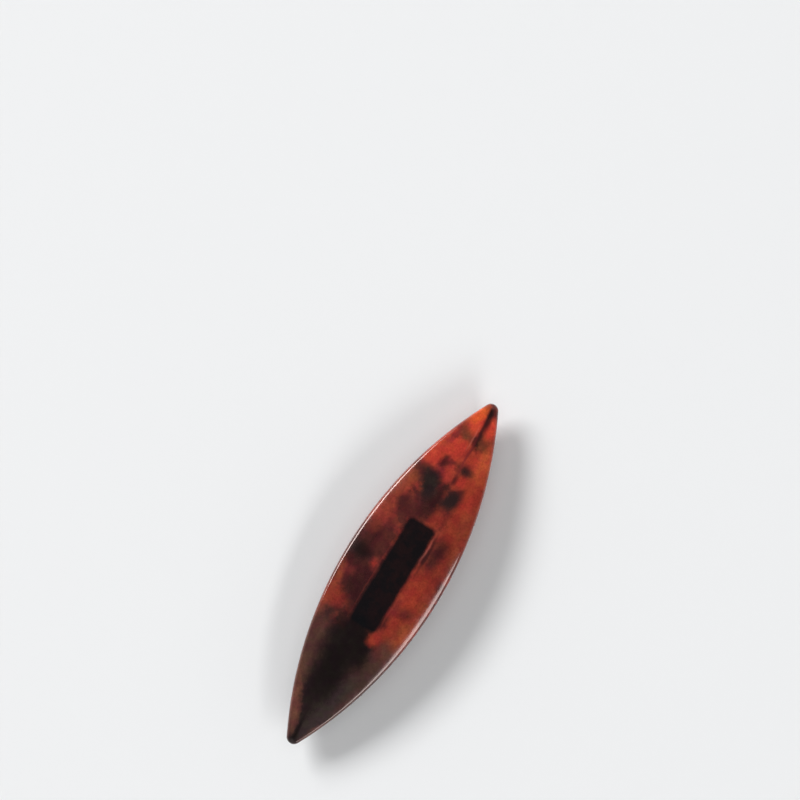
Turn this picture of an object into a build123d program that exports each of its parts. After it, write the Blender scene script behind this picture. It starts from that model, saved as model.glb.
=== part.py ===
from build123d import *
from math import asin, atan2, cos, degrees, hypot, sin, sqrt
import os

# A tatting shuttle: two domed blades, pointed at both ends, held apart by one post.
# The thread is wound round the post and leaves between the points, which just touch.
# X runs from point to point, Y across the blades and Z from blade to blade.
# The origin is the middle of the post, on the plane where the points meet.

# Sizes of the whole shuttle, in millimetres
shuttle_length = 72.0
shuttle_width = 19.3
shuttle_thickness = 11.4

# Sizes of one blade, whose wall is the same all over and ends in a full round rim
blade_wall = 1.15
blade_crown = 1.6  # rise of the ridge over the rims, at mid-length
tip_radius = 1.6  # rounding of a point, seen from above
tip_flat = 0.15  # what is taken off the round rim where two points meet

# Sizes of the post and of the seats that it is let into
post_length = 20.9
post_width = 5.1
post_corner = 0.35
seat_depth = 0.2  # at the middle of a blade
seat_clearance = 0.1  # gap for the adhesive round the post
thread_hole = 1.8
hole_bevel = 0.25

half_length = shuttle_length / 2
half_thickness = shuttle_thickness / 2
rim_radius = blade_wall / 2

# At mid-length the wall is one arc across the blade: the middle of the wall runs
# from the ridge to the centre of the rim, which lies here in Y and Z
rim_y = shuttle_width / 2 - rim_radius
rim_z = half_thickness - rim_radius - blade_crown
wall_radius = (rim_y**2 + blade_crown**2) / (2 * blade_crown)
outer_radius = wall_radius + rim_radius
inner_radius = wall_radius - rim_radius

# Each side's rim lies in a plane through both points that tilts up towards the middle
tip_z = rim_radius - tip_flat
tilt = atan2(rim_z - tip_z, rim_y)
outwards = Vector(0, cos(tilt), sin(tilt))
upwards = Vector(0, -sin(tilt), cos(tilt))

# In that plane the rim's centre follows one long arc, tangent to a small one at a point
rim_reach = hypot(rim_y, rim_z - tip_z)
tip_centre = half_length - tip_radius
tip_turn_radius = tip_radius - rim_radius
side_radius = (tip_centre**2 + rim_reach**2 - tip_turn_radius**2) / (
    2 * (rim_reach - tip_turn_radius)
)
side_offset = side_radius - rim_reach
side_turn = degrees(asin(tip_centre / (side_radius - tip_turn_radius)))
side_axis = Axis(Vector(0, 0, tip_z) - outwards * side_offset, upwards)
tip_axis = Axis((tip_centre, 0, tip_z), upwards)


def section_plane(turn):
    """The plane across the blade at an angle round the long arc from mid-length."""
    across = outwards.rotate(Axis((0, 0, 0), upwards), -turn)
    return Plane(
        origin=side_axis.position + across * side_offset,
        x_dir=across,
        z_dir=across.cross(upwards),
    )


# The middle of the wall's arcs in a section plane, and the rim's direction from it
wall_centre = section_plane(0).to_local_coords(Vector(0, 0, half_thickness - outer_radius))
rim_angle = degrees(atan2(-wall_centre.Y, rim_reach - wall_centre.X))


def wall_outline(start):
    """The outline of the wall in a section plane, from a place on it out to the rim."""
    run = start - wall_centre.X
    top = sqrt(outer_radius**2 - run**2)
    bottom = sqrt(inner_radius**2 - run**2)
    top_angle = degrees(atan2(top, run))
    bottom_angle = degrees(atan2(bottom, run))
    CenterArc(wall_centre, outer_radius, top_angle, rim_angle - top_angle)
    CenterArc((rim_reach, 0), rim_radius, rim_angle, -180)
    CenterArc(wall_centre, inner_radius, rim_angle, bottom_angle - rim_angle)
    Line((start, wall_centre.Y + bottom), (start, wall_centre.Y + top))


with BuildPart() as upper_blade:
    # A quarter of the blade: its wall goes round the long arc and then round the point
    with BuildSketch(section_plane(0)):
        with BuildLine():
            wall_outline(0)
        make_face()
    revolve(axis=side_axis, revolution_arc=-side_turn)
    with BuildSketch(section_plane(side_turn)):
        with BuildLine():
            wall_outline(rim_reach - tip_turn_radius)
        make_face()
    revolve(axis=tip_axis, revolution_arc=side_turn - 180)
    split(bisect_by=Plane.XZ, keep=Keep.BOTTOM)

    # The other three quarters, which meet in the ridge, and the flats of the points
    mirror(about=Plane.XZ)
    mirror(about=Plane.YZ)
    split(bisect_by=Plane.XY, keep=Keep.TOP)

    # The seat that the post is let into
    seat_height = half_thickness - blade_wall + seat_depth
    with BuildSketch(Plane.XY):
        RectangleRounded(
            post_length + 2 * seat_clearance,
            post_width + 2 * seat_clearance,
            post_corner + seat_clearance,
        )
    extrude(amount=seat_height, mode=Mode.SUBTRACT)
upper_blade.part.label = "upper_blade"

# The lower blade is the same moulding, turned over
with BuildPart() as lower_blade:
    mirror(upper_blade.part, about=Plane.XY)
lower_blade.part.label = "lower_blade"

with BuildPart() as centre_post:
    with BuildSketch(Plane.XY.offset(-seat_height)):
        RectangleRounded(post_length, post_width, post_corner)
    extrude(amount=2 * seat_height)
    # The hole that the thread is tied through, from side to side
    with Locations(centre_post.faces().sort_by(Axis.Y)[-1]):
        Hole(radius=thread_hole / 2)
    mouths = centre_post.edges(Select.LAST).filter_by(GeomType.CIRCLE)
    chamfer(mouths, length=hole_bevel)
centre_post.part.label = "centre_post"

os.makedirs("parts", exist_ok=True)
for piece in (upper_blade.part, lower_blade.part, centre_post.part):
    export_step(piece, f"parts/{piece.label}.step")
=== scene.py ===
from math import atan2, cos, hypot, pi, radians, sin

import bmesh
import bpy
import numpy as np
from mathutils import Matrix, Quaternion, Vector


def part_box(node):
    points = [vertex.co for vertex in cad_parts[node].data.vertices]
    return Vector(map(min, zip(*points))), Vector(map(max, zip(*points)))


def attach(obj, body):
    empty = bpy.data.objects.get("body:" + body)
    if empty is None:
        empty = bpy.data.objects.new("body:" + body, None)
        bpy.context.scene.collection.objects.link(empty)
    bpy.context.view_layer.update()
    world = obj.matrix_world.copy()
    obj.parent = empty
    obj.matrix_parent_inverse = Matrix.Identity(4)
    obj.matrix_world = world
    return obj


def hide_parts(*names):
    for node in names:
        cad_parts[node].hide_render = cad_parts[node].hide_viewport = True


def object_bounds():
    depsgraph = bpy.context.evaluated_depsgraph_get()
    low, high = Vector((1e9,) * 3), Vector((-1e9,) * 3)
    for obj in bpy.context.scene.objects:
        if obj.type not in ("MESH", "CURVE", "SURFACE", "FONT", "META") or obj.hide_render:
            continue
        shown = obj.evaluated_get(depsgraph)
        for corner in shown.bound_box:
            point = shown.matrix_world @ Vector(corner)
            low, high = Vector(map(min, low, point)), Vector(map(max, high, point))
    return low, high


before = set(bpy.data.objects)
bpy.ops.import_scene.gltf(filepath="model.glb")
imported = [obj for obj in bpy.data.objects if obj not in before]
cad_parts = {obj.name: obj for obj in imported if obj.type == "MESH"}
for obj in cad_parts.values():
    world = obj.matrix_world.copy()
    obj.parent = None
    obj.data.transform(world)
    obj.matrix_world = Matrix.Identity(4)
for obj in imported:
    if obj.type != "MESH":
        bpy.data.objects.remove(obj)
cadLow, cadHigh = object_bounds()
mm = 0.001
tiny = 1e-9  # keeps a test off an exact zero
joinWithin, dropWithin = 1e-7, 1e-8  # metres: closer points become one, shorter edges go
print("frame loaded:", sorted(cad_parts))

_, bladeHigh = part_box("upper_blade")
_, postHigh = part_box("centre_post")


def gridFaces(columns, rows, closedRows=False, closedColumns=False):
    # four corners of each cell of a grid whose points are numbered column by column
    i = np.arange(columns if closedColumns else columns - 1)[:, None]
    j = np.arange(rows if closedRows else rows - 1)[None, :]
    nextI, nextJ = (i + 1) % columns, (j + 1) % rows
    corners = (i * rows + j, nextI * rows + j, nextI * rows + nextJ, i * rows + nextJ)
    cells = [np.broadcast_to(corner, (i.size, j.size)) for corner in corners]
    return np.stack(cells, -1).reshape(-1, 4)


def gridPiece(name, points, faces, sharpAngle, marks=None):
    # doubled points at seams and poles become one, faces point outwards, sharp edges stay sharp;
    # marks is one number for each point, kept as an attribute for the material
    mesh = bpy.data.meshes.new(name)
    mesh.from_pydata(points.reshape(-1, 3).tolist(), [], faces.tolist())
    if marks is not None:
        attribute = mesh.attributes.new("nearEdge", "FLOAT", "POINT")
        attribute.data.foreach_set("value", marks.ravel())
    work = bmesh.new()
    work.from_mesh(mesh)
    bmesh.ops.remove_doubles(work, verts=work.verts, dist=joinWithin)
    bmesh.ops.dissolve_degenerate(work, edges=work.edges, dist=dropWithin)
    bmesh.ops.recalc_face_normals(work, faces=work.faces)
    work.to_mesh(mesh)
    work.free()
    mesh.shade_smooth()
    mesh.set_sharp_from_angle(angle=radians(sharpAngle))
    piece = bpy.data.objects.new(name, mesh)
    bpy.context.scene.collection.objects.link(piece)
    return piece


def findRoot(rule, low, high, steps=48):
    # halves the span between low and high, where the rule changes from below zero to above it
    for _ in range(steps):
        middle = (low + high) / 2
        above = rule(middle) > 0
        high = np.where(above, middle, high)
        low = np.where(above, low, middle)
    return (low + high) / 2


blade = {
    "wall": 1.15 * mm,
    "crown": 1.6 * mm,  # rise of the ridge over the rims at mid-length
    "edgeRadius": 0.66 * mm,  # rounding of the outer edge
    "cornerRadius": 0.3 * mm,  # rounding of the inner edge
    "tipRadius": 1.4 * mm,  # rounding of a point seen from above
    "tipFlat": 0.15 * mm,  # taken off the round rim where two points meet
    "ridgeRounding": 0.14 * mm,
    "ridgeFade": 2.0 * mm,  # over which the ridge's rounding runs out at a point
    "steepest": 0.5,  # an angle past every place where the outer arc may end
    "sharpAngle": 32,  # degrees; a sharper edge isn't shaded smooth
    "seatDepth": 0.2 * mm,
    "seatGap": 0.1 * mm,  # round the post
    "endColumns": 64,
    "middleColumns": 56,
    "wallRows": 104,
    "arcRows": (0, 46, 62, 74, 104),  # rows used up before each of the four arcs, and in all
    "seatRows": 9,
    "edgeGlow": 1.0 * mm,  # width of the zone along the edge where a glow is painted
    "ridgeEase": 0.05,  # how much closer the rows lie beside the ridge
}


def bladeSizes():
    # the arcs that shape a blade, worked out from its box and the values above
    s = {"halfLength": bladeHigh.x, "halfWidth": bladeHigh.y, "halfThickness": bladeHigh.z}
    s["rimRadius"] = blade["wall"] / 2
    rimY = s["halfWidth"] - s["rimRadius"]
    rimZ = s["halfThickness"] - s["rimRadius"] - blade["crown"]
    wallRadius = (rimY**2 + blade["crown"] ** 2) / (2 * blade["crown"])
    s["outer"] = wallRadius + s["rimRadius"]
    s["inner"] = wallRadius - s["rimRadius"]
    s["tipZ"] = s["rimRadius"] - blade["tipFlat"]
    s["tilt"] = atan2(rimZ - s["tipZ"], rimY)
    s["reach"] = hypot(rimY, rimZ - s["tipZ"])
    s["tipCentre"] = s["halfLength"] - blade["tipRadius"]
    s["tipTurn"] = blade["tipRadius"] - s["rimRadius"]
    s["sideRadius"] = (s["tipCentre"] ** 2 + s["reach"] ** 2 - s["tipTurn"] ** 2) / (
        2 * (s["reach"] - s["tipTurn"])
    )
    s["sideOffset"] = s["sideRadius"] - s["reach"]
    s["sideTurn"] = np.arcsin(s["tipCentre"] / (s["sideRadius"] - s["tipTurn"]))
    drop = s["halfThickness"] - s["outer"] - s["tipZ"]
    s["wallT"], s["wallS"] = drop * sin(s["tilt"]), drop * cos(s["tilt"])

    # leans are the wall's angles from upright: where its outer arc passes into the edge's arc,
    # that into the corner's arc, and that into the inner arc, each tangent to the next
    edge, corner = blade["edgeRadius"], blade["cornerRadius"]
    far, near, target = s["outer"] - edge, edge - corner, s["inner"] + corner
    s["edgeTurn"] = float(np.arccos((target**2 - far**2 - near**2) / (2 * far * near)))

    def tooWide(lean):
        # the widest place is on the edge's arc if that passes upright, or else on the corner's
        onCorner = near * np.sin(lean + s["edgeTurn"]) + corner
        widest = np.where(lean + s["edgeTurn"] > pi / 2, edge, onCorner)
        return far * np.sin(lean) + widest - s["halfWidth"]

    s["edgeLean"] = float(findRoot(tooWide, 0.0, blade["steepest"]))
    s["cornerLean"] = s["edgeLean"] + s["edgeTurn"]
    s["edgeY"], s["edgeZ"] = far * sin(s["edgeLean"]), far * cos(s["edgeLean"])
    s["cornerY"] = s["edgeY"] + near * sin(s["cornerLean"])
    s["cornerZ"] = s["edgeZ"] + near * cos(s["cornerLean"])
    s["innerLean"] = atan2(s["cornerY"], s["cornerZ"])
    return s


sizes = bladeSizes()


def wallProfile(m):
    # m runs 0 to 1 down the outer arc from the ridge, 1 to 2 round the edge, 2 to 3 round the
    # corner and 3 to 4 back up the inner arc; each point is its arc's centre plus radius times
    # sine and cosine, and is given as the distance in from the rim's path, and the height
    s = sizes
    leans = (s["edgeLean"], s["cornerLean"], s["innerLean"])
    spans = [
        (0, leans[0], 0, 0, s["outer"]),
        (leans[0], leans[1], s["edgeY"], s["edgeZ"], blade["edgeRadius"]),
        (leans[1], leans[2] + pi, s["cornerY"], s["cornerZ"], blade["cornerRadius"]),
        (leans[2], 0, 0, 0, s["inner"]),
    ]
    acrosses, aboves = [], []
    for k, (first, last, centreY, centreZ, radius) in enumerate(spans):
        lean = first + (last - first) * np.clip(m - k, 0, 1)
        acrosses.append(centreY + radius * np.sin(lean))
        aboves.append(centreZ + radius * np.cos(lean))
    tests = [m < 1, m < 2, m < 3]
    across = np.select(tests, acrosses[:3], acrosses[3])
    above = np.select(tests, aboves[:3], aboves[3])
    outwards = s["wallT"] + across * cos(s["tilt"]) + above * sin(s["tilt"])
    height = s["wallS"] - across * sin(s["tilt"]) + above * cos(s["tilt"])
    return s["reach"] - outwards, height


def wallPoint(x, m):
    # at x along the shuttle: the profile is carried round the long arc of the side and then
    # round the small arc of the point, both in a plane that tilts up from the line of the points
    s = sizes
    inwards, height = wallProfile(m)
    x = np.abs(x)
    reach = s["sideRadius"] - inwards
    core = np.maximum(s["tipTurn"] - inwards, 0)
    side = np.sqrt(np.maximum(reach**2 - x**2, 0)) - s["sideOffset"]
    tip = np.sqrt(np.maximum(core**2 - np.maximum(x - s["tipCentre"], 0) ** 2, 0))
    out = np.where(x > reach * np.sin(s["sideTurn"]), tip, side)
    y = out * cos(s["tilt"]) - height * sin(s["tilt"])
    z = s["tipZ"] + out * sin(s["tilt"]) + height * cos(s["tilt"])
    return out, y, z


def bladePoints():
    # columns lie closer towards the points (x is a sine), and rows closer beside the ridge;
    # the ridge is rounded by y = sqrt(y0^2 - r^2), and the seat is a step up over the post
    s = sizes
    seatX = postHigh.x + blade["seatGap"]
    seatY = postHigh.y + blade["seatGap"]
    seatTurn = np.arcsin(seatX / s["halfLength"])
    ends = np.linspace(seatTurn, pi / 2, blade["endColumns"])
    middle = np.linspace(-seatTurn, seatTurn, blade["middleColumns"])
    turns = np.concatenate([-ends[::-1], middle, ends])
    inSeat = np.repeat([False, True, False], [ends.size, middle.size, ends.size])
    x = s["halfLength"] * np.sin(turns)

    # where the rim is furthest out in its tilted plane
    leans = (s["edgeLean"], s["cornerLean"], s["innerLean"] + pi)
    outermost = np.interp(pi / 2 - s["tilt"], leans, (1, 2, 3)) + 0 * x
    beforePoint = (s["halfLength"] - np.abs(x)) / blade["ridgeFade"]
    rounding = blade["ridgeRounding"] * np.clip(beforePoint, 0, 1)
    fade = np.clip((np.abs(x) - seatX) / (s["halfLength"] - seatX), 0, 1)
    seatEdge = seatY * (1 - fade**2)

    def fromRidge(m):
        # zero where the outer wall reaches the rounding of the ridge
        return wallPoint(x, m)[1] - rounding

    def toSeat(m):
        # zero where the inner wall reaches the edge of the seat, or the end of its own arc
        out, y, _ = wallPoint(x, m)
        return -np.minimum(out - tiny, y - seatEdge)

    def toRidge(m):
        # zero where the inner wall reaches the middle plane, or the end of its own arc
        out, y, _ = wallPoint(x, m)
        return -np.minimum(out - tiny, y)

    start = findRoot(fromRidge, 0 * x, outermost)
    seat = findRoot(toSeat, outermost, 4 + 0 * x)
    end = np.maximum(findRoot(toRidge, outermost, 4 + 0 * x), seat)

    arcRows, places = blade["arcRows"], np.arange(5.0)
    first = np.interp(start, places, arcRows)[:, None]
    last = np.interp(seat, places, arcRows)[:, None]
    share = np.linspace(0, 1, blade["wallRows"])[None, :]
    e = blade["ridgeEase"]
    eased = (np.sqrt(share**2 + e**2) - e) / (np.sqrt(1 + e**2) - e)
    wallRows = np.interp(first + (last - first) * eased, arcRows, places)
    seatRows = seat[:, None] + (end - seat)[:, None] * np.linspace(0, 1, blade["seatRows"])
    rows = np.concatenate([wallRows, seatRows], 1)

    _, y, z = wallPoint(x[:, None], rows)
    onOuter = rows < outermost[:, None]
    y = np.where(onOuter, np.sqrt(np.maximum(y**2 - rounding[:, None] ** 2, 0)), y)
    y[:, 0] = 0
    y[[0, -1]] = 0
    z = np.maximum(z, 0)
    seatHeight = s["halfThickness"] - blade["wall"] + blade["seatDepth"]
    raised = inSeat[:, None] & (np.arange(rows.shape[1]) >= blade["wallRows"])[None, :]
    z = np.where(raised, seatHeight, z)
    full = np.broadcast_to(x[:, None], y.shape)
    oneSide = np.stack([full, y, z], -1)
    otherSide = oneSide[:, ::-1] * (1, -1, 1)
    return np.concatenate([oneSide, otherSide], 1)


def edgeMarks(points):
    # 1 at the outline seen from above, falling evenly to 0 at edgeGlow inside it; the painted
    # edge glow follows it
    sides = np.abs(points[:, :, 1])
    inside = sides.max(1, keepdims=True) - sides
    return np.clip(1 - inside / blade["edgeGlow"], 0, 1)


def makeBlade(name, node, over):
    # over is 1 for the upper blade, and -1 turns its points over for the lower one
    points = bladePoints() * (1, 1, over)
    faces = gridFaces(*points.shape[:2], closedRows=True)
    piece = gridPiece(name, points, faces, blade["sharpAngle"], edgeMarks(points))
    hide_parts(node)
    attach(piece, "root")
    print(name, "has", len(piece.data.polygons), "faces")
    return piece


upperBlade = makeBlade("upperBlade", "upper_blade", 1)
lowerBlade = makeBlade("lowerBlade", "lower_blade", -1)


post = {
    "hole": 0.9 * mm,  # radius
    "mouth": 0.25 * mm,  # bevel of the hole
    "corner": 0.35 * mm,
    "seamRounding": 0.08 * mm,  # along the top and bottom, inside the seats
    "endTurns": 24,  # columns in a quarter turn on the post's end
    "sideTurns": 48,  # and on its top or bottom
    "faceRows": 26,
    "faceEase": 1.6,  # the power that draws the rows of a side face closer to the hole
    "roundRows": 8,
    "sharpAngle": 30,
}


def postPoints():
    # a ring carried round the hole: through the hole, over its bevel, out along one side face
    # to the rectangle's edge, round that edge, across the post's width, and back the same way
    halfX, halfY, halfZ = postHigh
    cornerTurn = atan2(halfZ, halfX)
    quarter = np.concatenate([
        np.linspace(0, cornerTurn, post["endTurns"], endpoint=False),
        np.linspace(cornerTurn, pi / 2, post["sideTurns"], endpoint=False),
    ])
    turns = np.concatenate([quarter, pi - quarter[::-1], pi + quarter, 2 * pi - quarter[::-1]])
    # the quarters share the directions at their ends, and each is wanted once
    turns = np.unique(np.round(turns, 9))
    turns = turns[turns < 2 * pi - 1e-6]
    c, s = np.cos(turns), np.sin(turns)
    onEnd = halfX * np.abs(s) <= halfZ * np.abs(c) + tiny * mm
    toEnd = halfX / np.maximum(np.abs(c), tiny)
    toTop = halfZ / np.maximum(np.abs(s), tiny)
    edge = np.where(onEnd, toEnd, toTop)
    rounding = np.where(onEnd, post["corner"], post["seamRounding"])
    bend = np.linspace(0, pi / 2, post["roundRows"])
    out = np.linspace(0, 1, post["faceRows"])[1:-1] ** post["faceEase"]

    # r is how far out from the hole's axis, y how far along it, first for the side at +y
    mouthR = np.array([post["hole"], post["hole"] + post["mouth"]])
    mouthY = np.array([halfY - post["mouth"], halfY])
    shrink = np.where(onEnd, np.abs(c), np.abs(s))
    inner = edge - rounding / np.maximum(shrink, tiny)
    columns = turns.size
    r = [np.full((columns, 1), post["hole"]), np.broadcast_to(mouthR, (columns, 2))]
    y = [np.zeros((columns, 1)), np.broadcast_to(mouthY, (columns, 2))]
    start = mouthR[1]
    r.append(start + (inner[:, None] - start) * out)
    y.append(np.full((columns, out.size), halfY))
    r.append(inner[:, None] + (edge - inner)[:, None] * np.sin(bend))
    y.append(halfY - rounding[:, None] * (1 - np.cos(bend)))
    r, y = np.concatenate(r, 1), np.concatenate(y, 1)
    r = np.concatenate([r, r[:, :0:-1]], 1)
    y = np.concatenate([y, -y[:, :0:-1]], 1)
    return np.stack([r * c[:, None], y, r * s[:, None]], -1)


points = postPoints()
faces = gridFaces(*points.shape[:2], closedRows=True, closedColumns=True)
centrePost = gridPiece("centrePost", points, faces, post["sharpAngle"])
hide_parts("centre_post")
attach(centrePost, "root")
print("centrePost has", len(centrePost.data.polygons), "faces")


def tone(red, green, blue):
    # a colour as it looks on screen, 0 to 255, made linear for the shader
    share = np.array([red, green, blue]) / 255
    linear = np.where(share <= 0.04045, share / 12.92, ((share + 0.055) / 1.055) ** 2.4)
    return (*linear.tolist(), 1.0)


class Shader:
    # a material's node tree, with short ways to add and join nodes
    def __init__(self, name):
        self.material = bpy.data.materials.new(name)
        self.material.use_nodes = True
        self.tree = self.material.node_tree
        self.plastic = self.tree.nodes["Principled BSDF"]

    def add(self, kind, inputs=(), **settings):
        # a node with its settings and the values or links of its inputs
        node = self.tree.nodes.new(kind)
        for key, value in settings.items():
            setattr(node, key, value)
        for key, value in dict(inputs).items():
            self.put(node.inputs[key], value)
        return node

    def put(self, socket, value):
        # a link if the value comes from a node, and else the value itself
        if isinstance(value, bpy.types.NodeSocket):
            self.tree.links.new(value, socket)
        else:
            socket.default_value = value

    def calc(self, operation, *values):
        # one number worked out from others
        return self.add("ShaderNodeMath", dict(enumerate(values)), operation=operation).outputs[0]

    def vector(self, operation, *values):
        # the same for vectors, whose length is one number
        node = self.add("ShaderNodeVectorMath", dict(enumerate(values)), operation=operation)
        return node.outputs["Value" if operation == "LENGTH" else "Vector"]

    def noise(self, place, scale, detail, roughness=0.5, output=0):
        # output 0 is one number from 0 to 1 at each place, and output 1 is three
        inputs = {"Vector": place, "Scale": scale, "Detail": detail, "Roughness": roughness}
        return self.add("ShaderNodeTexNoise", inputs).outputs[output]

    def ramp(self, value, low, high, first=0.0, last=1.0):
        # from first at low to last at high, eased at both ends
        inputs = {"Value": value, "From Min": low, "From Max": high}
        inputs.update({"To Min": first, "To Max": last})
        return self.add("ShaderNodeMapRange", inputs, interpolation_type="SMOOTHSTEP").outputs[0]

    def mix(self, share, first, second, kind="MIX"):
        # the first colour at share 0, and at share 1 what the kind makes of it and the second
        node = self.add("ShaderNodeMix", data_type="RGBA", blend_type=kind)
        self.put(node.inputs[0], share)
        self.put(node.inputs[6], first)
        self.put(node.inputs[7], second)
        return node.outputs[2]

    def times(self, colour, factors):
        # red, green and blue each times a factor of its own
        return self.mix(1.0, colour, (*factors, 1), "MULTIPLY")

    def bend(self, where, wide, fine, pushes):
        # both noises push the place, less half of each push, so that nothing moves as a whole
        for noise, push in zip((wide, fine), pushes):
            where = self.vector("MULTIPLY_ADD", noise, (push, push, 0), where)
        back = sum(pushes) / 2
        return self.vector("SUBTRACT", where, (back, back, 0))

    def layers(self, colour, where, clouds):
        # each cloud is an ellipse, full inside and fading across its outline, at softness 1 by
        # 0.6 of its size to either side: a round gradient, 1 at the centre and 0 where the fade
        # ends, is stretched and turned to its place
        for cloudTone, x, y, halfLength, halfWidth, turn, softness, strength in clouds:
            fade = 0.6 * softness
            reach = 1 + fade
            spot = self.add("ShaderNodeTexGradient", {"Vector": where}, gradient_type="SPHERICAL")
            spot.texture_mapping.vector_type = "TEXTURE"
            spot.texture_mapping.translation = (x, y, 0)
            spot.texture_mapping.rotation = (0, 0, radians(turn))
            spot.texture_mapping.scale = (halfLength * reach, halfWidth * reach, 1)
            share = self.ramp(spot.outputs[1], 0.0, 2 * fade / reach, 0.0, strength)
            colour = self.mix(share, colour, tones[cloudTone])
        return colour

    def place(self, flat=False, shift=(0, 0, 0)):
        # Object coordinates in millimetres, seen from above if flat
        where = self.add("ShaderNodeTexCoord").outputs["Object"]
        size = (1 / mm, 1 / mm, 0 if flat else 1 / mm)
        inputs = {"Vector": where, "Location": shift, "Scale": size}
        return self.add("ShaderNodeMapping", inputs).outputs[0]

    def finish(self, inputs):
        # fills in the surface and gives the material
        for key, value in inputs.items():
            self.put(self.plastic.inputs[key], value)
        return self.material


tones = {
    "pitch": tone(20, 14, 14),
    "smoke": tone(38, 27, 27),
    "haze": tone(63, 51, 48),
    "umber": tone(85, 53, 46),
    "rust": tone(100, 58, 48),
    "plum": tone(52, 22, 23),
    "maroon": tone(79, 33, 31),
    "wine": tone(115, 38, 39),
    "brick": tone(137, 52, 41),
    "ember": tone(143, 50, 36),
    "copper": tone(141, 63, 41),
    "olive": tone(110, 57, 37),
    "scarlet": tone(179, 59, 43),
    "poppy": tone(207, 68, 48),
    "amber": tone(181, 73, 45),
    "flame": tone(207, 86, 52),
    "honey": tone(217, 87, 42),
    "blush": tone(215, 120, 105),
    # the near-black of the painted shade where the post shows through the wall
    "paintedPostShade": tone(8, 11, 14),
}

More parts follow.
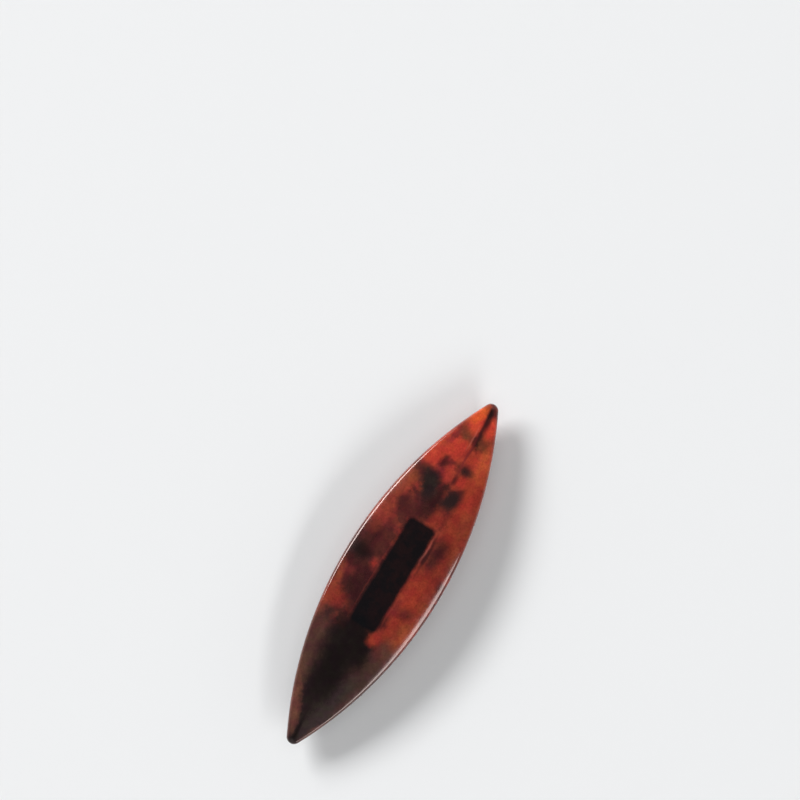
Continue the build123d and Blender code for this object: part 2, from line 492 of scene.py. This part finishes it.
# each cloud of colour: tone, x, y, half length, half width, turn in degrees, softness, strength
upperClouds = [
    # the dark end
    ("smoke", -24.6, 0.0, 13.9, 12.0, 0, 0.4, 1.0),
    ("umber", -15.8, 6.3, 5.2, 1.9, 15, 1.3, 0.7),
    ("umber", -22.5, 5.2, 4.6, 1.0, 19, 1.3, 0.75),
    ("smoke", -11.9, 6.0, 1.3, 1.8, 0, 1.2, 0.45),
    ("umber", -16.4, -5.3, 4.8, 1.9, -21, 1.3, 0.75),
    ("umber", -24.0, -4.9, 4.8, 0.8, -18, 1.3, 0.6),
    # painted reflection: a greyish veil of a soft light on the lower side of the dark end
    ("haze", -28.0, -2.0, 5.8, 1.6, -9, 1.2, 0.88),
    ("haze", -21.5, -3.8, 4.2, 1.2, -14, 1.3, 0.45),
    ("pitch", -18.5, 0.9, 8.6, 3.0, 3, 1.2, 1.0),
    ("pitch", -11.9, 0.6, 2.4, 3.3, 0, 0.9, 0.95),
    ("pitch", -15.5, -2.4, 2.8, 1.5, 30, 1.0, 0.85),
    ("rust", -29.9, 2.8, 4.8, 0.95, 25, 1.1, 0.95),
    ("rust", -24.8, 5.1, 4.5, 0.6, 20, 1.2, 0.45),
    ("rust", -31.8, -2.5, 3.6, 0.45, -26, 1.2, 0.6),
    # above the post
    ("maroon", -3.4, 6.0, 6.2, 4.2, 0, 0.7, 1.0),
    ("ember", -8.5, 7.1, 1.8, 2.2, 0, 1.0, 0.68),
    ("copper", -5.8, 8.4, 3.6, 0.8, 4, 1.2, 0.75),
    ("plum", -5.4, 5.0, 2.7, 1.8, 6, 1.0, 0.95),
    ("plum", -6.4, 3.3, 4.6, 1.0, 0, 1.1, 0.85),
    ("wine", -2.7, 7.6, 1.4, 1.2, 0, 1.2, 0.55),
    ("plum", -1.9, 4.4, 1.6, 1.0, 0, 1.2, 0.8),
    ("smoke", 2.3, 7.2, 2.7, 2.8, 0, 0.9, 1.0),
    ("pitch", 2.5, 7.2, 1.8, 2.3, 0, 1.0, 0.9),
    ("plum", -1.2, 7.3, 1.4, 1.8, 0, 1.1, 0.8),
    ("brick", 0.3, 3.9, 1.0, 0.8, 15, 1.4, 0.6),
    ("scarlet", 0.1, 3.9, 0.5, 0.4, 0, 1.4, 0.5),
    ("plum", 2.6, 4.2, 1.2, 1.0, 0, 1.2, 0.7),
    ("maroon", 4.6, 6.2, 3.2, 3.4, 0, 1.0, 0.95),
    ("plum", 4.8, 6.8, 2.0, 1.4, 0, 1.2, 0.75),
    ("brick", 9.9, 7.1, 4.2, 1.6, -6, 1.1, 0.75),
    ("maroon", 8.2, 4.6, 1.6, 1.2, 0, 1.2, 0.6),
    ("copper", 15.6, 7.0, 3.4, 1.4, -13, 1.1, 0.95),
    ("maroon", 12.4, 5.1, 1.5, 1.2, 0, 1.0, 1.0),
    ("maroon", 12.6, 2.4, 2.9, 2.3, 0, 1.0, 0.95),
    ("plum", 12.6, 1.2, 1.7, 1.1, 0, 1.3, 0.5),
    # the bright end, above the ridge
    ("plum", 15.8, 0.4, 3.2, 1.5, 0, 1.1, 1.0),
    ("scarlet", 24.6, 3.2, 4.8, 3.2, -14, 0.7, 1.0),
    ("amber", 25.8, 4.8, 2.2, 0.7, -16, 1.3, 0.3),
    ("wine", 21.4, 2.1, 2.0, 1.3, -8, 1.1, 0.85),
    ("smoke", 17.4, 2.7, 2.7, 1.5, 12, 0.9, 1.0),
    ("smoke", 19.3, 3.9, 1.2, 2.3, -12, 1.1, 0.95),
    ("maroon", 19.1, 5.9, 1.0, 1.2, 15, 1.2, 0.4),
    ("poppy", 21.1, 5.2, 1.0, 0.8, 0, 1.3, 0.3),
    ("poppy", 20.8, 0.7, 1.6, 0.8, 0, 1.3, 0.35),
    ("plum", 22.6, 2.5, 1.1, 0.8, -10, 1.2, 0.8),
    ("maroon", 23.0, 0.9, 0.4, 0.9, 10, 1.3, 0.7),
    ("wine", 25.6, 4.1, 1.2, 0.7, -14, 1.3, 0.25),
    ("wine", 28.0, 3.3, 2.0, 0.5, -16, 1.2, 0.8),
    ("olive", 28.9, 1.7, 1.4, 1.4, 0, 1.0, 0.95),
    ("poppy", 31.3, 1.0, 1.9, 1.4, -10, 1.0, 0.85),
    ("honey", 33.1, 1.5, 2.2, 1.0, -24, 1.0, 1.0),
    ("ember", 30.5, 2.9, 1.3, 0.8, -20, 1.2, 0.5),
    # the bright end, below the ridge
    ("ember", 12.6, -1.7, 2.0, 1.4, 0, 1.0, 0.85),
    ("flame", 24.0, -4.2, 5.2, 1.7, 13, 0.9, 0.85),
    ("scarlet", 20.6, -2.4, 1.6, 1.8, 0, 1.0, 0.85),
    ("scarlet", 25.4, -1.9, 1.8, 1.3, 0, 1.1, 0.7),
    ("plum", 19.3, -3.2, 0.9, 0.4, -50, 1.1, 0.7),
    ("plum", 28.6, -0.6, 1.5, 0.75, 0, 0.9, 1.0),
    ("olive", 28.8, -2.0, 1.5, 1.2, 8, 1.1, 0.85),
    ("poppy", 31.8, -1.6, 2.2, 1.1, 18, 0.9, 1.0),
    ("brick", 24.3, -2.6, 0.25, 1.4, 4, 1.3, 0.35),
    ("brick", 26.1, -2.7, 0.3, 1.4, 4, 1.3, 0.45),
    # below the post
    ("ember", -3.8, -5.4, 8.8, 3.2, 2, 0.6, 1.0),
    ("scarlet", -11.9, -3.2, 1.2, 1.0, -30, 1.2, 0.6),
    ("umber", -12.4, -6.3, 1.9, 1.5, -20, 1.2, 0.85),
    ("copper", -8.6, -7.0, 2.6, 1.4, -10, 1.1, 0.95),
    ("amber", -8.4, -7.7, 1.6, 0.8, -8, 1.3, 0.35),
    ("scarlet", -1.8, -5.0, 2.8, 1.3, 0, 1.3, 0.35),
    ("maroon", -4.9, -5.8, 1.1, 1.4, 0, 1.2, 0.7),
    ("plum", -8.4, -3.2, 1.3, 0.7, -8, 1.0, 0.8),
    ("wine", -5.4, -3.4, 1.8, 1.0, 0, 1.2, 0.7),
    ("ember", 14.4, -5.9, 8.6, 2.6, 7, 0.8, 0.95),
    ("copper", 14.6, -6.6, 3.4, 1.2, 6, 1.2, 0.7),
    ("scarlet", 17.8, -5.0, 2.4, 1.3, 8, 1.2, 0.6),
    ("maroon", 6.6, -4.7, 3.0, 1.4, 0, 1.1, 0.85),
    ("plum", 8.0, -5.6, 2.1, 1.2, -10, 1.1, 0.65),
    ("copper", 8.4, -7.9, 2.6, 0.9, 4, 1.2, 0.5),
    ("ember", 4.6, -7.3, 2.0, 0.9, 0, 1.2, 0.5),
    ("copper", -1.6, -7.7, 2.2, 0.9, 0, 1.2, 0.5),
]

# a few blots, and thin lines along the ridge and beside the post, drawn over the clouds in the
# same way but less bent; the dark lines along the ridge and at the points are painted shade in
# the crease, and the pale line just above the ridge is a painted highlight
upperStreaks = [
    ("smoke", 16.8, -2.25, 2.3, 1.3, -14, 1.0, 0.97),
    ("smoke", 22.85, -1.8, 0.95, 1.45, -4, 1.3, 0.85),
    # painted shade: dark lines in the crease along the ridge towards the bright point
    ("wine", 25.6, -0.5, 5.4, 0.22, 2, 1.3, 0.7),
    ("plum", 20.4, -0.85, 1.0, 0.45, 0, 1.3, 0.75),
    ("plum", 30.0, -0.5, 3.4, 0.26, 3, 1.2, 0.7),
    ("plum", 33.2, -0.55, 2.6, 0.58, 5, 1.0, 0.95),
    ("pitch", 34.3, -0.3, 0.9, 0.3, 8, 1.2, 0.7),
    ("pitch", 1.2, 7.2, 1.5, 1.7, 0, 1.2, 0.75),
    ("plum", 11.9, 4.9, 1.2, 0.9, 0, 1.3, 0.45),
    ("smoke", 15.5, 2.5, 1.0, 0.8, 0, 1.3, 0.6),
    # painted highlight: a pale line just above the ridge
    ("blush", 28.6, 0.28, 2.0, 0.14, 0, 1.5, 0.2),
    # painted shade: the dark crease at the dark point
    ("pitch", -33.4, 0.15, 3.2, 0.38, 3, 1.2, 0.9),
    ("pitch", -35.4, 0.0, 1.3, 0.9, 0, 1.0, 0.9),
    ("brick", -1.0, 3.15, 6.2, 0.14, 0, 1.4, 0.15),
    ("brick", -5.6, -3.05, 3.2, 0.14, 0, 1.4, 0.3),
    ("blush", 7.0, -3.05, 2.0, 0.2, -1, 1.5, 0.28),
    ("plum", 6.4, -3.5, 3.4, 0.3, 1, 1.2, 0.85),
]


scatter = {
    "tones": ["smoke", "pitch", "umber", "haze", "plum", "maroon", "smoke", "ember", "wine",
              "copper", "brick", "plum", "scarlet", "amber", "maroon", "poppy", "flame"],
    "halfLength": 34,
    "halfWidth": 9.5,
    "outlineEnd": 37,  # where the outline's parabola comes to zero
    "wander": 0.12,  # share of the list of tones
    "halfLengths": (1.6, 4.2),
    "halfWidths": (0.9, 2.3),
    "turn": 25,  # to either side, in degrees
    "softness": (0.8, 1.3),
    "strength": 0.85,
    "ground": [
        ("smoke", -25.0, 0.0, 13.0, 12.0, 0, 0.8, 1.0),
        ("ember", 22.0, 0.0, 14.0, 12.0, 0, 1.0, 0.9),
    ],
}


def scatteredClouds(seed, count):
    # clouds at random inside the outline, dark at one end and bright at the other: the tone is
    # picked from the list at a place that grows with x and wanders by chance
    rng = np.random.default_rng(seed)
    reach, tilt = scatter["halfLength"], scatter["turn"]
    x = rng.uniform(-reach, reach, count)
    widths = scatter["halfWidth"] * (1 - (x / scatter["outlineEnd"]) ** 2)
    y = rng.uniform(-1, 1, count) * widths
    place = (x + reach) / (2 * reach) + rng.normal(0, scatter["wander"], count)
    picked = (np.clip(place, 0, 0.999) * len(scatter["tones"])).astype(int)
    columns = [
        x,
        y,
        rng.uniform(*scatter["halfLengths"], count),
        rng.uniform(*scatter["halfWidths"], count),
        rng.uniform(-tilt, tilt, count),
        rng.uniform(*scatter["softness"], count),
    ]
    rows = np.stack(columns, 1).tolist()
    clouds = [(scatter["tones"][k], *row, scatter["strength"]) for k, row in zip(picked, rows)]
    return scatter["ground"] + clouds


# a guess, since the photo doesn't show this blade
lowerClouds = scatteredClouds(seed=7, count=62)
# painted shade in the crease along the ridge and at the points, and a thin line beside the post
lowerStreaks = [
    ("pitch", -33.6, 0.2, 3.0, 0.35, -3, 1.2, 0.9),
    ("plum", 26.0, 0.5, 7.5, 0.3, -2, 1.2, 0.7),
    ("plum", 33.4, 0.2, 2.4, 0.42, -4, 1.0, 0.9),
    ("brick", 2.0, -3.05, 5.4, 0.14, 0, 1.4, 0.4),
]


tortoise = {
    # noises: scale per millimetre, detail and roughness
    "wide": (0.35, 2.0),
    "fine": (1.3, 4.0),
    "ground": (0.42, 3.0, 0.6),
    "grain": (2.6, 4.0, 0.6),
    "gleam": (0.9, 3.0),
    "hues": (0.6, 3.0),
    "dim": (1.2, 5.0, 0.7),
    "gloss": (0.5, 3.0),
    "waves": (0.22, 1.0),
    "scuffs": (3.0, 4.0, 0.7),
    # millimetres by which the wide and the fine noise push the clouds and the thin lines
    "cloudPushes": (1.6, 0.8),
    "linePushes": (0.5, 0.2),
    # ramps: a noise's values at both ends, and what they become
    "groundRamp": (0.42, 0.6),
    "grainRamp": (0.35, 0.7, 0.0, 0.22),
    "gleamRamp": (0.45, 0.7, 0.0, 0.35),
    "huesRamp": (0.38, 0.62),
    "dimRamp": (0.5, 0.7, 0.0, 0.6),
    "edgeRamp": (0.4, 1.0),
    "roughnessRamp": (0.3, 0.7, 0.08, 0.13),
    # what the colour is multiplied by, or what is added to it
    "gleamFactors": (1.5, 1.6, 1.6),
    "coolFactors": (0.88, 0.72, 0.95, 1),
    "warmFactors": (1.05, 1.28, 1.05, 1),
    "hueShare": 0.6,
    "dimFactors": (0.6, 0.55, 0.6),
    # painted glow, added towards the outline for light through the thin translucent edge
    "paintedEdgeGlow": (0.06, 0.026, 0.02, 1),
    # painted shade: the post seen through the wall and its shadow round it, in millimetres: how
    # much smaller the core of its rectangle is, the rounding round that core, and where the shade
    # is full and where none
    "postCore": (0.55, 0.75),
    "postRounding": 0.8,
    "postFade": (-0.25, 0.6),
    "postShade": 0.97,
    # the surface
    "scuffStretch": (0.4, 3.0, 1.0),
    "scuffHeight": 0.04,  # of the waves' height
    "bumpStrength": 0.25,
    "bumpDistance": 0.05 * mm,
    "ior": 1.5,
    "mirrorTint": (1.0, 0.7, 0.65, 1),
    "coat": 0.6,
    "coatRoughness": 0.06,
}


def postShade(shade, where):
    # painted shade for the dark post seen through the wall and its shadow round it: a rectangle
    # with rounded
    # corners, a little larger than the post: the distance from a smaller rectangle, less the
    # rounding of the corners, fades from full to none
    lessX, lessY = tortoise["postCore"]
    core = (postHigh.x / mm - lessX, postHigh.y / mm - lessY, 0)
    past = shade.vector("SUBTRACT", shade.vector("ABSOLUTE", where), core)
    past = shade.vector("MAXIMUM", past, (0, 0, 0))
    outside = shade.calc("SUBTRACT", shade.vector("LENGTH", past), tortoise["postRounding"])
    return shade.ramp(outside, *tortoise["postFade"], tortoise["postShade"], 0.0)


def tortoiseshell(name, clouds, streaks, shift=(0, 0, 0)):
    # clouds of colour one over another, their outlines bent by noise, then varied by grain,
    # gleams, hues and dim blotches, lifted by a painted glow along the edge, then streaks (among
    # them painted shade and a painted highlight along the ridge) and the painted shade of the
    # post, under a clear gloss; shift gives each blade its own noise
    t = tortoise
    shade = Shader(name)
    flat = shade.place(flat=True)
    solid = shade.place(shift=shift)
    wide = shade.noise(solid, *t["wide"], output=1)
    fine = shade.noise(solid, *t["fine"], output=1)
    bent = shade.bend(flat, wide, fine, t["cloudPushes"])
    wavy = shade.bend(flat, wide, fine, t["linePushes"])

    ground = shade.ramp(shade.noise(solid, *t["ground"]), *t["groundRamp"])
    colour = shade.mix(ground, tones["maroon"], tones["brick"])
    colour = shade.layers(colour, bent, clouds)
    grain = shade.ramp(shade.noise(solid, *t["grain"]), *t["grainRamp"])
    colour = shade.mix(grain, colour, tones["pitch"])
    gleam = shade.ramp(shade.noise(solid, *t["gleam"]), *t["gleamRamp"])
    colour = shade.mix(gleam, colour, shade.times(colour, t["gleamFactors"]))
    hues = shade.ramp(shade.noise(solid, *t["hues"]), *t["huesRamp"])
    hue = shade.mix(hues, t["coolFactors"], t["warmFactors"])
    colour = shade.mix(t["hueShare"], colour, hue, "MULTIPLY")
    dim = shade.ramp(shade.noise(solid, *t["dim"]), *t["dimRamp"])
    colour = shade.mix(dim, colour, shade.times(colour, t["dimFactors"]))
    # painted glow: the colour is lifted towards the outline, standing in for light through the
    # thin edge
    nearEdge = shade.add("ShaderNodeAttribute", attribute_name="nearEdge").outputs["Fac"]
    lighter = shade.mix(1.0, colour, t["paintedEdgeGlow"], "ADD")
    colour = shade.mix(shade.ramp(nearEdge, *t["edgeRamp"]), colour, lighter)
    colour = shade.layers(colour, wavy, streaks)
    # painted shade: the post seen through the wall and its shadow, laid on as a near-black
    # rectangle
    colour = shade.mix(postShade(shade, wavy), colour, tones["paintedPostShade"])

    waves = shade.noise(solid, *t["waves"])
    scuffs = shade.noise(shade.vector("MULTIPLY", solid, t["scuffStretch"]), *t["scuffs"])
    height = shade.calc("MULTIPLY_ADD", scuffs, t["scuffHeight"], waves)
    bumps = {"Height": height, "Strength": t["bumpStrength"], "Distance": t["bumpDistance"]}
    return shade.finish({
        "Base Color": colour,
        "Roughness": shade.ramp(shade.noise(solid, *t["gloss"]), *t["roughnessRamp"]),
        "Normal": shade.add("ShaderNodeBump", bumps).outputs[0],
        "IOR": t["ior"],
        "Specular Tint": t["mirrorTint"],
        "Coat Weight": t["coat"],
        "Coat Roughness": t["coatRoughness"],
    })


black = {
    "clouds": (0.8, 3.0),  # noises: scale per millimetre and detail
    "grain": (5.0, 3.0),
    "darker": tone(20, 22, 24),
    "lighter": tone(34, 32, 34),
    "roughnessRamp": (0.3, 0.7, 0.2, 0.34),
    "bumpStrength": 0.2,
    "bumpDistance": 0.05 * mm,
}


def blackPlastic():
    # one noise varies both the colour and the roughness, and a finer one the height
    shade = Shader("blackPlastic")
    solid = shade.place()
    clouds = shade.noise(solid, *black["clouds"])
    grain = shade.noise(solid, *black["grain"])
    bumps = {"Height": grain}
    bumps.update({"Strength": black["bumpStrength"], "Distance": black["bumpDistance"]})
    return shade.finish({
        "Base Color": shade.mix(clouds, black["darker"], black["lighter"]),
        "Roughness": shade.ramp(clouds, *black["roughnessRamp"]),
        "Normal": shade.add("ShaderNodeBump", bumps).outputs[0],
    })


upperLook = tortoiseshell("tortoiseshellUpper", upperClouds, upperStreaks)
lowerLook = tortoiseshell("tortoiseshellLower", lowerClouds, lowerStreaks, shift=(40, 15, 0))
upperBlade.data.materials.append(upperLook)
lowerBlade.data.materials.append(lowerLook)
centrePost.data.materials.append(blackPlastic())
print("materials made")


studio = {
    "floorHalf": 3.0,
    "floorTone": tone(232, 233, 234),
    "floorRoughness": 0.9,
    "cameraOver": (27.8 * mm, 15.2 * mm),  # the point at the middle of the picture
    "cameraHeight": 1.0,
    "lens": 247.2,
    "sensor": 36.0,
    "pictureRight": (0.51729, -0.85581),  # the picture's right-hand direction
    "lampDistance": 5.0,
    "wallLight": 0.45,  # from the sides of the room, up to the lower of the next heights
    "overhead": 0.05,  # from above, where the camera stands, beyond the higher one
    "heights": (0.35, 0.8),  # upward parts of a direction
    "backdrop": 0.8,  # the room as the camera sees it
}

corners = [(-1, -1), (1, -1), (1, 1), (-1, 1)]
floorPoints = [(studio["floorHalf"] * x, studio["floorHalf"] * y, cadLow.z) for x, y in corners]
floorMesh = bpy.data.meshes.new("floor")
floorMesh.from_pydata(floorPoints, [], [(0, 1, 2, 3)])
floor = bpy.data.objects.new("floor", floorMesh)
bpy.context.scene.collection.objects.link(floor)
floorLook = {"Base Color": studio["floorTone"], "Roughness": studio["floorRoughness"]}
floorMesh.materials.append(Shader("floorPaper").finish(floorLook))


def softLight(name, bearing, zenith, width, height, power, roll=0, away=None, mirrored=True):
    # an oval that faces the shuttle; bearing is in degrees from +Y towards +X, zenith from +Z
    turn, lean = radians(bearing), radians(zenith)
    light = bpy.data.lights.new(name, "AREA")
    light.shape = "ELLIPSE"
    light.size, light.size_y, light.energy = width, height, power
    lamp = bpy.data.objects.new(name, light)
    towards = Vector((sin(turn) * sin(lean), cos(turn) * sin(lean), cos(lean)))
    lamp.location = towards * (away or studio["lampDistance"])
    lamp.rotation_mode = "QUATERNION"
    facing = (-lamp.location).to_track_quat("-Z", "Y")
    lamp.rotation_quaternion = facing @ Quaternion((0, 0, 1), radians(roll))
    lamp.visible_glossy = mirrored
    bpy.context.scene.collection.objects.link(lamp)


softLight("leftBox", bearing=7.7, zenith=51, width=1.72, height=3.33, power=194, roll=81)
softLight("rightBox", bearing=206, zenith=48.4, width=5.0, height=0.92, power=80, roll=26.5)
softLight("edgeBox", bearing=25, zenith=58, width=1.5, height=0.6, power=18)
softLight(
    "fillBox", bearing=0, zenith=0, width=1.2, height=1.2, power=5.0, away=1.5, mirrored=False
)

# light falls from the walls and not from above, and the camera sees an even backdrop
world = bpy.data.worlds.new("studio")
bpy.context.scene.world = world
world.use_nodes = True
sky = world.node_tree
upwards = sky.nodes.new("ShaderNodeSeparateXYZ")
fall = sky.nodes.new("ShaderNodeMapRange")
fall.interpolation_type = "SMOOTHSTEP"
fall.inputs["From Min"].default_value, fall.inputs["From Max"].default_value = studio["heights"]
fall.inputs["To Min"].default_value = studio["wallLight"]
fall.inputs["To Max"].default_value = studio["overhead"]
seen = sky.nodes.new("ShaderNodeMix")
seen.inputs[3].default_value = studio["backdrop"]
sky.links.new(sky.nodes.new("ShaderNodeTexCoord").outputs["Generated"], upwards.inputs[0])
sky.links.new(upwards.outputs["Z"], fall.inputs["Value"])
sky.links.new(sky.nodes.new("ShaderNodeLightPath").outputs["Is Camera Ray"], seen.inputs[0])
sky.links.new(fall.outputs[0], seen.inputs[2])
sky.links.new(seen.outputs[0], sky.nodes["Background"].inputs["Strength"])
sky.nodes["Background"].inputs["Color"].default_value = (1, 1, 1, 1)

camera = bpy.data.cameras.new("camera")
camera.lens, camera.sensor_width = studio["lens"], studio["sensor"]
viewer = bpy.data.objects.new("camera", camera)
viewer.location = (*studio["cameraOver"], studio["cameraHeight"])
right = studio["pictureRight"]
viewer.rotation_euler = (0, 0, atan2(right[1], right[0]))
bpy.context.scene.collection.objects.link(viewer)
bpy.context.scene.camera = viewer
bpy.context.scene.view_settings.view_transform = "Standard"
print("studio set")
